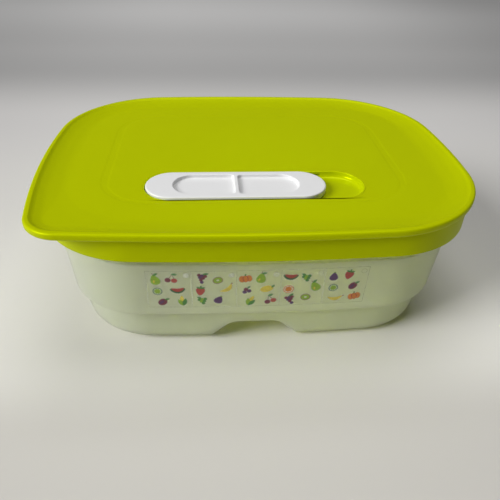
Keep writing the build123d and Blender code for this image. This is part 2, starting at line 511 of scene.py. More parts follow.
@dataclass(frozen=True)
class MouldedPlastic:
    """A moulded plastic with the fine satin grain that the mould leaves on it."""

    name: str
    colour: str
    deep_colour: str
    roughness: float
    ior: float
    gloss_tint: str = "ffffff"
    grain_size: float = 0.5
    grain_depth: float = 0.004
    cloud_size: float = 45.0
    gloss: float = 0.5
    own_sheen: float = 0.0
    transmission: float = 0.0
    subsurface: float = 0.0
    subsurface_reach: float = 2.0
    sheen_spread: float = 0.03

    def make(self) -> bpy.types.Material:
        """Make the material.

        Returns:
            A material with a faint cloudiness of colour, an uneven sheen and a fine grain.
        """
        material, tree = new_material(self.name)
        tree.nodes.clear()
        coords = object_coords(tree)
        cloud = noise(tree, coords, self.cloud_size, detail=3.0, roughness=0.5)
        grain = noise(tree, coords, self.grain_size, detail=2.0, roughness=0.6)
        tint = add_node(tree, "ShaderNodeMix",
                        {"data_type": "RGBA", "A": hex_colour(self.colour),
                         "B": hex_colour(self.deep_colour)}, {})
        tree.links.new(cloud, tint.inputs["Factor"])
        sheen = remap(tree, cloud, self.roughness - self.sheen_spread,
                      self.roughness + self.sheen_spread)
        bump = add_node(tree, "ShaderNodeBump",
                        {"Strength": 1.0, "Distance": self.grain_depth * MM}, {"Height": grain})
        colour_out = next(s for s in tint.outputs if s.type == "RGBA")
        shader = add_node(tree, "ShaderNodeBsdfPrincipled",
                          {"IOR": self.ior, "Specular Tint": hex_colour(self.gloss_tint),
                           "Transmission Weight": self.transmission,
                           "Specular IOR Level": self.gloss, "Metallic": self.own_sheen,
                           "Subsurface Weight": self.subsurface,
                           "Subsurface Radius": (1.0, 1.0, 1.0),
                           "Subsurface Scale": self.subsurface_reach * MM},
                          {"Base Color": colour_out, "Roughness": sheen,
                           "Normal": bump.outputs["Normal"]})
        add_node(tree, "ShaderNodeOutputMaterial", {}, {"Surface": shader.outputs["BSDF"]})
        return material


# Low-density polyethylene, injection moulded: satin, soft, a strong yellowish green. The dye
# tints its sheen too, so a part of the sheen takes the plastic's own colour.
LID_PLASTIC = MouldedPlastic("lid_polyethylene", "bac600", "b6c200", roughness=0.42, ior=1.51,
                             gloss_tint="e6f000", gloss=0.08, own_sheen=0.14, subsurface=0.4,
                             subsurface_reach=2.5)

# Polypropylene moulded against a polished face: the same green, glossier and a little brighter
BED_PLASTIC = MouldedPlastic("bed_polypropylene", "bcca00", "b9c700", roughness=0.22, ior=1.49,
                             gloss_tint="e6f000", gloss=0.15, own_sheen=0.1, grain_size=0.8,
                             grain_depth=0.002)

# White polypropylene with a satin face
SLIDER_PLASTIC = MouldedPlastic("slider_polypropylene", "eaeaea", "e7e7e7", roughness=0.35,
                                ior=1.49, subsurface=0.2)

# Natural polypropylene: it lets light through and blurs what is behind it. Its pale yellow-green
# colour is partly its own and partly painted light, the green that light through the lid gives it.
TUB_PLASTIC = MouldedPlastic("tub_polypropylene", "f0f5e0", "eef3dc", roughness=0.45, ior=1.25,
                             transmission=0.56, subsurface=1.0, subsurface_reach=5.0,
                             grain_depth=0.003)


@dataclass
class Lid:
    """Soft lid: a rolled bead, a dished panel with a fine groove, a skirt and a plug rib."""

    plan: BowedPlan
    corner: float = 69.0
    tab_corner: float = 21.0
    body_corner: float = 62.0
    top: float = 90.0
    panel_top: float = 87.0
    panel_bottom: float = 85.4
    dish_inset: float = 17.0
    dish_round: float = 60.0
    sweep_inset: float = 9.0
    sweep_height: float = 88.0
    sweep_round: float = 36.0
    flank_inset: float = 4.6
    flank_height: float = 89.1
    flank_round: float = 8.0
    crest_inset: float = 2.8
    crest_round: float = 0.7
    bead_top_round: float = 2.2
    bead_edge_round: float = 2.0
    skirt_bottom: float = 71.0
    skirt_inset: float = 4.2
    skirt_wall: float = 1.5
    plug_bottom: float = 79.4
    plug_inset: float = 8.2
    plug_wall: float = 1.4
    rib_round: float = 0.5
    groove_length: float = 180.0
    groove_width: float = 130.0
    groove_centre: tuple[float, float] = (-1.4, 0.5)
    groove_side: float = 4.5
    groove_front: float = 2.5
    groove_depth: float = 0.09
    groove_corner: float = 30.0
    groove_slope: float = 0.6
    groove_round: float = 10.0
    hole_length: float = 128.9
    hole_width: float = 34.3
    hole_centre: tuple[float, float] = (-2.4, -43.8)
    hole_round: float = 0.1
    hole_lap: float = 0.01
    dish_lap: float = 3.0
    bead_lap: float = 0.05
    plug_lap: float = 2.0
    arc_steps: int = 6
    fine_steps: int = 3

    def flat_track(self, centre: tuple[float, float], length: float, width: float,
                   corner: float) -> Track:
        """Run a rounded rectangle with as many stations as the lid's own plan."""
        return rounded_box_track(Vector(centre), length, width, corner,
                                 self.plan.corner_steps, self.plan.end_steps,
                                 self.plan.side_steps + self.plan.middle_steps)

    def groove_rings(self) -> Rings:
        """Make the rings over the fine groove, from its inner edge to its outer one."""
        inner = self.flat_track(self.groove_centre, self.groove_length - 2 * self.groove_side,
                                self.groove_width - 2 * self.groove_front,
                                self.groove_corner - self.groove_side)
        outer = self.flat_track(self.groove_centre, self.groove_length, self.groove_width,
                                self.groove_corner)
        floor = self.panel_top - self.groove_depth
        slope = self.groove_slope
        soft = self.groove_round
        inner_section = round_section([
            Corner(3 * slope, self.panel_top),
            Corner(slope, self.panel_top, soft),
            Corner(-slope, floor, soft),
            Corner(-2 * slope, floor),
        ], self.fine_steps)
        outer_section = round_section([
            Corner(2 * slope, floor),
            Corner(slope, floor, soft),
            Corner(-slope, self.panel_top, soft),
            Corner(-3 * slope, self.panel_top),
        ], self.fine_steps)
        return inner.rings(inner_section) + outer.rings(outer_section)

    def bead_rings(self) -> Rings:
        """Make the rings over the dish and the bead, from the panel round to the underside.

        The dish starts with the body's own corners. It takes up the tab's corner as it rises.
        """
        body = self.plan.track(self.body_corner)
        edge = self.plan.track(self.corner, self.tab_corner)
        section = round_section([
            Corner(self.dish_inset + self.dish_lap, self.panel_top),
            Corner(self.dish_inset, self.panel_top, self.dish_round),
            Corner(self.sweep_inset, self.sweep_height, self.sweep_round),
            Corner(self.flank_inset, self.flank_height, self.flank_round),
            Corner(self.crest_inset, self.top, self.crest_round),
            Corner(0, self.top, self.bead_top_round),
            Corner(0, self.panel_bottom, self.bead_edge_round),
            Corner(self.bead_edge_round + self.bead_lap, self.panel_bottom),
        ], self.arc_steps)
        span = self.dish_inset - self.sweep_inset
        rings: Rings = []
        for inset, height in section:
            share = min(max((self.dish_inset - inset) / span, 0.0), 1.0)
            pairs = zip(body.ring(inset, height), edge.ring(inset, height))
            rings.append([low.lerp(high, share) for low, high in pairs])
        return rings

    def under_rings(self) -> Rings:
        """Make the rings of the skirt and the plug rib, from the outside to the inside."""
        body = self.plan.track(self.body_corner)
        skirt_inside = self.skirt_inset + self.skirt_wall
        plug_inside = self.plug_inset + self.plug_wall
        soft = self.rib_round
        section = round_section([
            Corner(self.skirt_inset, self.panel_bottom),
            Corner(self.skirt_inset, self.skirt_bottom, soft),
            Corner(skirt_inside, self.skirt_bottom, soft),
            Corner(skirt_inside, self.panel_bottom, soft),
            Corner(self.plug_inset, self.panel_bottom, soft),
            Corner(self.plug_inset, self.plug_bottom, soft),
            Corner(plug_inside, self.plug_bottom, soft),
            Corner(plug_inside, self.panel_bottom, soft),
            Corner(plug_inside + self.plug_lap, self.panel_bottom),
        ], self.fine_steps)
        return body.rings(section)

    def hole_rings(self) -> Rings:
        """Make the rings of the opening for the vent bed, from its lower to its upper edge."""
        hole = self.flat_track(self.hole_centre, self.hole_length, self.hole_width,
                               self.hole_width / 2)
        soft = self.hole_round
        section = round_section([
            Corner(-soft, self.panel_bottom),
            Corner(0, self.panel_bottom, soft),
            Corner(0, self.panel_top, soft),
            Corner(-soft - self.hole_lap, self.panel_top),
        ], self.fine_steps)
        return hole.rings(section)

    def build(self) -> bpy.types.Object:
        """Model the lid as one closed moulding.

        Returns:
            The lid's piece.
        """
        rings = self.hole_rings() + self.groove_rings() + self.bead_rings() + self.under_rings()
        rings.append(rings[0])
        piece = skin("lid_moulding", rings)
        smooth(piece)
        dress(piece, LID_PLASTIC.make())
        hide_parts("lid")
        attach(piece, "lid")
        return piece


@dataclass
class VentBed:
    """Hard tray in the lid: a rim, a flange under the panel, two rails and two air ports.

    Past the rails' ends, the rail's corners lie on the bare wall, bare_wall apart.
    """

    length: float = 126.8
    width: float = 32.2
    centre_x: float = -2.4
    centre_y: float = -43.8
    bottom: float = 81.8
    floor: float = 83.4
    top: float = 87.0
    rim: float = 1.0
    rim_round: float = 0.6
    outer_round: float = 0.1
    floor_round: float = 1.0
    bowl_round: float = 2.6
    flange_reach: float = 3.0
    flange_top: float = 85.4
    flange_bottom: float = 84.0
    flange_round: float = 0.3
    rail_bottom: float = 84.4
    rail_top: float = 85.4
    rail_depth: float = 0.9
    rail_half_length: float = 41.2
    port_diameter: float = 6.0
    port_places: tuple[float, float] = (-58.8, -46.8)
    port_lip: float = 0.3
    port_steps: int = 10
    cutter_margin: float = 1.0
    floor_lap: float = 4.0
    under_lap: float = 2.0
    bare_wall: float = 0.2
    end_steps: int = 2
    corner_steps: int = 36
    side_steps: int = 40
    arc_steps: int = 4

    def section(self, x: float) -> Section:
        """Round the tray's section at one place along it: a soft bowl past the rails' ends.

        Args:
            x: Place along the tray, from its middle.

        Returns:
            Inset and height of each point, from the floor up and over to the underside.
        """
        if abs(x) <= self.rail_half_length:
            rail, low, high = self.rail_depth, self.rail_bottom, self.rail_top
            floor_round = self.floor_round
        else:
            floor_round = self.bowl_round
            low = self.floor + floor_round
            rail, high = 0.0, low + self.bare_wall
        flange = -self.rim - self.flange_reach
        return round_section([
            Corner(self.floor_lap, self.floor),
            Corner(0, self.floor, floor_round),
            Corner(0, low),
            Corner(-rail, low),
            Corner(-rail, high),
            Corner(0, high),
            Corner(0, self.top, self.rim_round),
            Corner(-self.rim, self.top, self.outer_round),
            Corner(-self.rim, self.flange_top),
            Corner(flange, self.flange_top, self.flange_round),
            Corner(flange, self.flange_bottom, self.flange_round),
            Corner(-self.rim, self.flange_bottom),
            Corner(-self.rim, self.bottom, self.outer_round),
            Corner(self.under_lap, self.bottom),
        ], self.arc_steps)

    def build(self) -> bpy.types.Object:
        """Model the tray as one closed moulding with its ports.

        Returns:
            The tray's piece.
        """
        track = rounded_box_track(Vector((self.centre_x, self.centre_y)), self.length,
                                  self.width, self.width / 2, self.corner_steps,
                                  self.end_steps, self.side_steps)
        rings = track.varied_rings([self.section(point.x - self.centre_x)
                                    for point in track.points])
        top_floor = across(rings[0], FLOOR_SHARES, self.centre_y)
        under_floor = across(rings[-1], FLOOR_SHARES[::-1], self.centre_y)
        piece = skin("vent_tray", top_floor + rings + under_floor)
        for x in self.port_places:
            join_with(piece, self.port_cutter(x), "DIFFERENCE")
        smooth(piece)
        dress(piece, BED_PLASTIC.make())
        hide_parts("vent_bed")
        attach(piece, "lid")
        return piece

    def port_cutter(self, x: float) -> bpy.types.Object:
        """Make the solid that cuts a port, flared at the top for its soft lip."""
        radius = self.port_diameter / 2
        track = rounded_box_track(Vector((x, self.centre_y)), 2 * radius, 2 * radius, radius,
                                  self.port_steps, 1, 1)
        lip = self.port_lip
        past = self.cutter_margin
        section = round_section([
            Corner(0, self.bottom - past),
            Corner(0, self.floor, lip),
            Corner(-lip, self.floor),
            Corner(-lip, self.floor + past),
        ], self.arc_steps)
        return skin("port_cutter", track.rings(section), capped=True)


@dataclass
class VentSlider:
    """White slider: a stadium plate with two finger wells, a rib and a tongue on each side."""

    length: float = 104.0
    width: float = 30.8
    centre_x: float = -13.3
    centre_y: float = -43.8
    bottom: float = 83.5
    top: float = 87.9
    top_round: float = 0.8
    foot_round: float = 1.0
    tongue_length: float = 60.0
    tongue_reach: float = 1.3
    tongue_bottom: float = 84.5
    tongue_top: float = 85.3
    well_length: float = 35.3
    well_width: float = 22.8
    well_rib: float = 2.2
    well_depth: float = 2.0
    well_corner: float = 2.2
    well_floor_round: float = 1.5
    well_rim_round: float = 0.4
    well_end_steps: int = 40
    well_side_steps: int = 16
    well_rib_steps: int = 14
    well_corner_steps: int = 5
    cutter_lap: float = 0.1
    cutter_margin: float = 1.0
    face_lap: float = 2.0
    corner_steps: int = 36
    end_steps: int = 2
    side_steps: int = 30
    arc_steps: int = 5

    def section(self, x: float) -> Section:
        """Round the plate's section at one place along it.

        Args:
            x: Place along the plate, from its middle.

        Returns:
            Inset and height of each point, from the foot up to the top.
        """
        tongue = self.tongue_reach if abs(x) <= self.tongue_length / 2 else 0.0
        return round_section([
            Corner(self.face_lap, self.bottom),
            Corner(0, self.bottom, self.foot_round),
            Corner(0, self.tongue_bottom),
            Corner(-tongue, self.tongue_bottom),
            Corner(-tongue, self.tongue_top),
            Corner(0, self.tongue_top),
            Corner(0, self.top, self.top_round),
            Corner(self.face_lap, self.top),
        ], self.arc_steps)

    def well_track(self, side: int) -> Track:
        """Run a track round one well: a half stadium with its flat end at the rib.

        Args:
            side: 1 for the right well, -1 for the left one.

        Returns:
            The closed track.
        """
        half_width = self.well_width / 2
        near = self.well_rib / 2
        far_centre = near + self.well_length - half_width
        turn = math.pi / 2
        small = self.well_corner
        inner = near + small
        flat = half_width - small
        side_steps, corner_steps = self.well_side_steps, self.well_corner_steps
        stations = straight(Vector((inner, -half_width)), Vector((far_centre, -half_width)),
                            side_steps)
        stations += arc(Vector((far_centre, 0)), half_width, -turn, turn, self.well_end_steps)
        stations += straight(Vector((far_centre, half_width)), Vector((inner, half_width)),
                             side_steps)
        stations += arc(Vector((inner, flat)), small, turn, 2 * turn, corner_steps)
        stations += straight(Vector((near, flat)), Vector((near, -flat)), self.well_rib_steps)
        stations += arc(Vector((inner, -flat)), small, 2 * turn, 3 * turn, corner_steps)
        middle = Vector((self.centre_x, self.centre_y))
        return track_of(mirrored(stations, middle, side, 1))

    def well_cutter(self, side: int) -> bpy.types.Object:
        """Make the solid that cuts one well, with a rounded floor and a soft rim."""
        track = self.well_track(side)
        floor = self.top - self.well_depth
        rim = self.well_rim_round
        section = round_section([
            Corner(self.well_floor_round + self.cutter_lap, floor),
            Corner(0, floor, self.well_floor_round),
            Corner(0, self.top, rim),
            Corner(-rim, self.top),
            Corner(-rim, self.top + self.cutter_margin),
        ], self.arc_steps)
        return skin("well_cutter", track.rings(section), capped=True)

    def build(self) -> bpy.types.Object:
        """Model the slider as one closed moulding.

        Returns:
            The slider's piece.
        """
        track = rounded_box_track(Vector((self.centre_x, self.centre_y)), self.length, self.width,
                                  self.width / 2, self.corner_steps, self.end_steps,
                                  self.side_steps)
        rings = track.varied_rings([self.section(point.x - self.centre_x)
                                    for point in track.points])
        piece = skin("slider_plate", rings, capped=True)
        for side in (-1, 1):
            join_with(piece, self.well_cutter(side), "DIFFERENCE")
        smooth(piece)
        dress(piece, SLIDER_PLASTIC.make())
        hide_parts("vent_slider")
        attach(piece, "slider")
        return piece


@dataclass
class Tub:
    """Translucent tub: a tapering wall with a step, grip recesses, a rim and two feet."""

    plan: BowedPlan
    corner: float = 62.0
    base_corner: float = 65.0
    wall: float = 1.6
    floor: float = 2.0
    foot_inset: float = 20.0
    band_inset: float = 17.0
    step_inset: float = 13.8
    step_height: float = 26.4
    step_round: float = 1.2
    foot_round: float = 9.0
    mouth_round: float = 0.8
    shoulder_inset: float = 10.4
    shoulder: float = 73.0
    rim_inset: float = 6.2
    rim_start: float = 76.0
    rim_top: float = 85.4
    rim_round: float = 0.5
    bend_round: float = 0.8
    shoulder_round: float = 0.3
    inner_shoulder_round: float = 0.2
    floor_lap: float = 1.0
    grip_half_length: float = 91.0
    grip_bottom: float = 64.0
    grip_depth: float = 2.0
    grip_corner: float = 8.0
    grip_round: float = 0.5
    grip_end_run: float = 1.6
    grip_top_gap: float = 1.5
    plain_wall_gap: float = 2.0
    channel_foot: float = 26.0
    channel_top: float = 14.0
    channel_height: float = 16.5
    channel_round: float = 10.0
    channel_centre: float = -3.3
    ridge_count: int = 5
    ridge_pitch: float = 12.0
    ridge_width: float = 1.6
    ridge_height: float = 2.6
    ridge_length: float = 120.0
    ridge_margin: float = 4.0
    ridge_sink: float = 0.4
    ridge_round: float = 0.5
    ridge_lap: float = 0.7
    ridge_search: float = 1.5
    ridge_corner_steps: int = 6
    ridge_side_steps: int = 8
    arc_steps: int = 6
    fine_steps: int = 3

    def channel(self, x: float, growth: float) -> float:
        """Give the height of the channel under the base, at one place across it.

        Args:
            x: Place across the channel, from the keeper's middle.
            growth: How far the channel's outline is grown, for the floor that covers it.

        Returns:
            The height, 0 or less outside the channel.
        """
        lean = Vector((self.channel_height, self.channel_foot - self.channel_top)).normalized()
        reach = lean.x * self.channel_foot
        centre_z = self.channel_height - self.channel_round
        centre_x = (reach - self.channel_round - lean.y * centre_z) / lean.x
        radius = self.channel_round + growth
        out = abs(x - self.channel_centre)
        if out <= centre_x:
            return centre_z + radius
        if out <= centre_x + radius * lean.x:
            return centre_z + math.sqrt(radius ** 2 - (out - centre_x) ** 2)
        return (reach + growth - lean.x * out) / lean.y

    def grip(self, x: float, growth: float) -> tuple[float, float]:
        """Give the grip recess at one place along the wall.

        Args:
            x: Place along the wall.
            growth: How far the recess is grown, for the wall behind it.

        Returns:
            Height of the recess's lower edge, and its depth there.
        """
        half_length = self.grip_half_length + growth
        radius = self.grip_corner + growth
        bottom = self.grip_bottom - growth
        into_corner = min(max(abs(x) - (half_length - radius), 0.0), radius)
        edge = bottom + radius - math.sqrt(radius ** 2 - into_corner ** 2)
        outside = (abs(x) - half_length) / self.grip_end_run
        depth = self.grip_depth * min(max(0.5 - outside, 0.0), 1.0)
        return edge, depth

    def upper_edge(self, x: float, growth: float, is_side: bool) -> tuple[float, float]:
        """Give the height of the grip recess's lower edge on any part of the wall, and its depth.

        The recess is only on the front and the back. The ends have the same edge with no depth.
        """
        if is_side:
            edge, depth = self.grip(x, growth)
        else:
            edge, depth = self.shoulder - self.plain_wall_gap, 0.0
        return min(edge, self.shoulder - self.grip_top_gap), depth

    def wall_inset(self, height: float, thickness: float) -> float:
        """Give the inset of the wall between the step and the shoulder."""
        share = (height - self.step_height) / (self.shoulder - self.step_height)
        return self.step_inset + thickness + share * (self.shoulder_inset - self.step_inset)

    def outer_section(self, foot_x: float, grip_x: float, is_side: bool) -> Section:
        """Round the outside of the wall at one station.

        Args:
            foot_x: The station's place along the wall's foot.
            grip_x: Its place along the grip recess.
            is_side: Whether the station is on the front or the back.

        Returns:
            Inset and height of each point, from the base up to the rim.
        """
        rise = max(self.channel(foot_x, 0), 0.0) if is_side else 0.0
        share = rise / self.channel_height
        foot_round = self.foot_round + share * (self.mouth_round - self.foot_round)
        climb = rise / self.step_height
        foot_inset = self.foot_inset + (self.band_inset - self.foot_inset) * climb
        upper, depth = self.upper_edge(grip_x, 0, is_side)
        soft, bend, turn = self.grip_round, self.bend_round, self.shoulder_round
        return round_section([
            Corner(foot_inset + self.foot_round + self.floor_lap, rise),
            Corner(foot_inset, rise, foot_round),
            Corner(self.band_inset, self.step_height, bend),
            Corner(self.step_inset, self.step_height, self.step_round),
            Corner(self.wall_inset(upper, 0), upper, soft),
            Corner(self.wall_inset(upper, depth), upper, soft),
            Corner(self.wall_inset(self.shoulder, depth), self.shoulder, turn),
            Corner(self.shoulder_inset, self.shoulder, turn),
            Corner(self.rim_inset, self.rim_start, bend),
            Corner(self.rim_inset, self.rim_top, self.rim_round),
            Corner(self.rim_inset + self.wall / 2, self.rim_top),
        ], self.arc_steps)

    def inner_section(self, foot_x: float, grip_x: float, is_side: bool) -> Section:
        """Round the inside of the wall at one station, from the rim down to the floor.

        Args:
            foot_x: The station's place along the wall's foot.
            grip_x: Its place along the grip recess.
            is_side: Whether the station is on the front or the back.

        Returns:
            Inset and height of each point.
        """
        wall = self.wall
        rise = max(self.channel(foot_x, wall), self.floor) if is_side else self.floor
        share = (rise - self.floor) / (self.channel_height + wall - self.floor)
        foot_round = (self.foot_round - wall) * (1 - share) + self.mouth_round * share
        ledge = self.step_height + wall
        climb = (rise - self.floor) / (ledge - self.floor)
        foot_inset = self.foot_inset + wall + (self.band_inset - self.foot_inset) * climb
        upper, depth = self.upper_edge(grip_x, wall, is_side)
        soft, bend = self.grip_round, self.bend_round
        return round_section([
            Corner(self.rim_inset + wall / 2, self.rim_top),
            Corner(self.rim_inset + wall, self.rim_top, self.rim_round),
            Corner(self.rim_inset + wall, self.rim_start + wall / 2, bend),
            Corner(self.shoulder_inset + wall, self.shoulder + wall / 2, self.shoulder_round),
            Corner(self.wall_inset(self.shoulder, wall + depth), self.shoulder,
                   self.inner_shoulder_round),
            Corner(self.wall_inset(upper, wall + depth), upper, soft),
            Corner(self.wall_inset(upper, wall), upper, soft),
            Corner(self.step_inset + wall, ledge, bend),
            Corner(self.band_inset + wall, ledge, self.step_round),
            Corner(foot_inset, rise, foot_round),
            Corner(foot_inset + self.foot_round + self.floor_lap, rise),
        ], self.arc_steps)

    def rings(self, sections: list[Section], thickness: float) -> Rings:
        """Make the rings of one side of the wall.

        Under the step the wall runs round the base's wider corners.

        Args:
            sections: Inset and height of each point, for each station.
            thickness: Wall between this side and the outside.

        Returns:
            The rings, in the order of the sections' points.
        """
        body = self.plan.track(self.corner)
        base = self.plan.track(self.base_corner)
        span = self.band_inset - self.step_inset
        made: Rings = []
        for number in range(len(sections[0])):
            ring: list[Vector] = []
            for station, section in enumerate(sections):
                inset, height = section[number]
                share = min(max((inset - thickness - self.step_inset) / span, 0.0), 1.0)
                upper = body.place(station, inset, height)
                ring.append(upper.lerp(base.place(station, inset, height), share))
            made.append(ring)
        return made

    def ridges(self) -> bpy.types.Object:
        """Model the floor's ridges, each with a soft top, as one object.

        Returns:
            The ridges, sunk a little into the floor.
        """
        inner = self.plan.track(self.corner)
        limit = self.foot_inset + self.foot_round + self.ridge_margin
        edge = inner.ring(limit, 0)
        top = self.floor + self.ridge_height
        section = round_section([
            Corner(0, self.floor - self.ridge_sink),
            Corner(0, top, self.ridge_round),
            Corner(self.ridge_lap, top),
        ], self.fine_steps)
        bars: list[bpy.types.Object] = []
        for side in (-1, 1):
            for number in range(self.ridge_count):
                out = self.channel_foot + (number + 1) * self.ridge_pitch
                x = self.channel_centre + side * out
                reach = max(abs(p.y) for p in edge if abs(p.x - x) < self.ridge_search)
                length = min(self.ridge_length, 2 * reach)
                track = rounded_box_track(Vector((x, 0)), self.ridge_width, length,
                                          self.ridge_width / 2, self.ridge_corner_steps,
                                          self.ridge_side_steps, 1)
                bars.append(skin(f"ridge_{len(bars)}", track.rings(section), capped=True))
        activate(bars[0])
        for bar in bars:
            bar.select_set(True)
        bpy.ops.object.join()
        return bars[0]

    def on_front(self, x: float, height: float, proud: float) -> Vector:
        """Give a place on the outside of the front wall, or a little proud of it."""
        radius = self.plan.side_radius()
        inset = self.wall_inset(height, 0) - proud
        drop = radius - self.plan.width / 2 - math.sqrt((radius - inset) ** 2 - x ** 2)
        return Vector((x, drop, height))

    def build(self) -> bpy.types.Object:
        """Model the tub as one closed moulding.

        Returns:
            The tub's piece.
        """
        track = self.plan.track(self.corner)
        sides = [abs(normal.y) > abs(normal.x) for normal in track.normals]
        stations = [(point.x - self.foot_inset * normal.x,
                     point.x - self.shoulder_inset * normal.x, is_side)
                    for point, normal, is_side in zip(track.points, track.normals, sides)]
        outer = [self.outer_section(*station) for station in stations]
        inner = [self.inner_section(*station) for station in stations]
        outer_rings = self.rings(outer, 0)
        inner_rings = self.rings(inner, self.wall)
        base = across(outer_rings[0], FLOOR_SHARES, 0)
        floor = across(inner_rings[-1], FLOOR_SHARES[::-1], 0)
        piece = skin("tub_moulding", base + outer_rings + inner_rings[1:] + floor)
        join_with(piece, self.ridges(), "UNION")
        smooth(piece)
        dress(piece, TUB_PLASTIC.make())
        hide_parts("tub")
        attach(piece, "tub")
        return piece


# Screen-printed ink: grain of its cover in mm, share by which it varies, and its roughness
INK_GRAIN = 1.6
INK_SPREAD = 0.45
INK_ROUGHNESS = 0.55

# Shapes of the plain motifs: a leaf's width for its length, its point, and a stem's half width
LEAF_SLENDER = 0.45
LEAF_POINT = 0.8
STEM_HALF_WIDTH = 0.22


class Ink(Enum):
    """Inks of the printed chart, each with its colour."""

    CREAM = "d3d8c2"
    LEAF = "47803a"
    LIME = "86a92f"
    FOREST = "2f5f36"
    YELLOW = "cdbd45"
    ORANGE = "c67a33"
    RED = "a5453a"
    MAROON = "70303c"
    PURPLE = "54385c"
    BROWN = "85664a"

    def make(self) -> bpy.types.Material:
        """Make the ink's material: a matt film whose cover is a little uneven."""
        material, tree = new_material(f"ink_{self.name.lower()}")
        shader = tree.nodes["Principled BSDF"]
        cover = noise(tree, object_coords(tree), INK_GRAIN, detail=3.0, roughness=0.7)
        colour = add_node(tree, "ShaderNodeHueSaturation", {"Color": hex_colour(self.value)},
                          {"Value": remap(tree, cover, 1 - INK_SPREAD, 1 + INK_SPREAD)})
        tree.links.new(colour.outputs["Color"], shader.inputs["Base Color"])
        shader.inputs["Roughness"].default_value = INK_ROUGHNESS
        return material


@dataclass(frozen=True)
class Blob:
    """A printed shape: an oval that may taper, come to points, bend or have lobes."""

    ink: Ink
    u: float
    v: float
    half_length: float
    half_width: float
    turn: float = 0.0
    taper: float = 0.0
    point: float = 0.0
    bend: float = 0.0
    lobes: int = 0
    lobe_depth: float = 0.0

    def edge(self, growth: float, steps: int) -> list[Vector]:
        """Step round the shape.

        Args:
            growth: How far the shape is grown, for the pale line round it.
            steps: How many points it gets.

        Returns:
            The points, counter-clockwise, from the middle of the motif.
        """
        turn = math.radians(self.turn)
        points: list[Vector] = []
        for i in range(steps):
            angle = math.tau * i / steps
            along = math.cos(angle)
            side = math.copysign(abs(math.sin(angle)) ** (1 + self.point), math.sin(angle))
            lobe = 1 + self.lobe_depth * math.cos(self.lobes * angle)
            length = (self.half_length + growth) * along * lobe
            width = (self.half_width + growth) * side * (1 + self.taper * along) * lobe
            width += self.bend * along ** 2
            points.append(Vector((self.u + length * math.cos(turn) - width * math.sin(turn),
                                  self.v + length * math.sin(turn) + width * math.cos(turn))))
        return points


def leaf(u: float, v: float, turn: float, length: float = 1.8, ink: Ink = Ink.LEAF) -> Blob:
    """Draw a pointed leaf."""
    return Blob(ink, u, v, length, length * LEAF_SLENDER, turn, point=LEAF_POINT)


def stem(u: float, v: float, turn: float, length: float = 1.0) -> Blob:
    """Draw a thin stem."""
    return Blob(Ink.BROWN, u, v, length, STEM_HALF_WIDTH, turn)


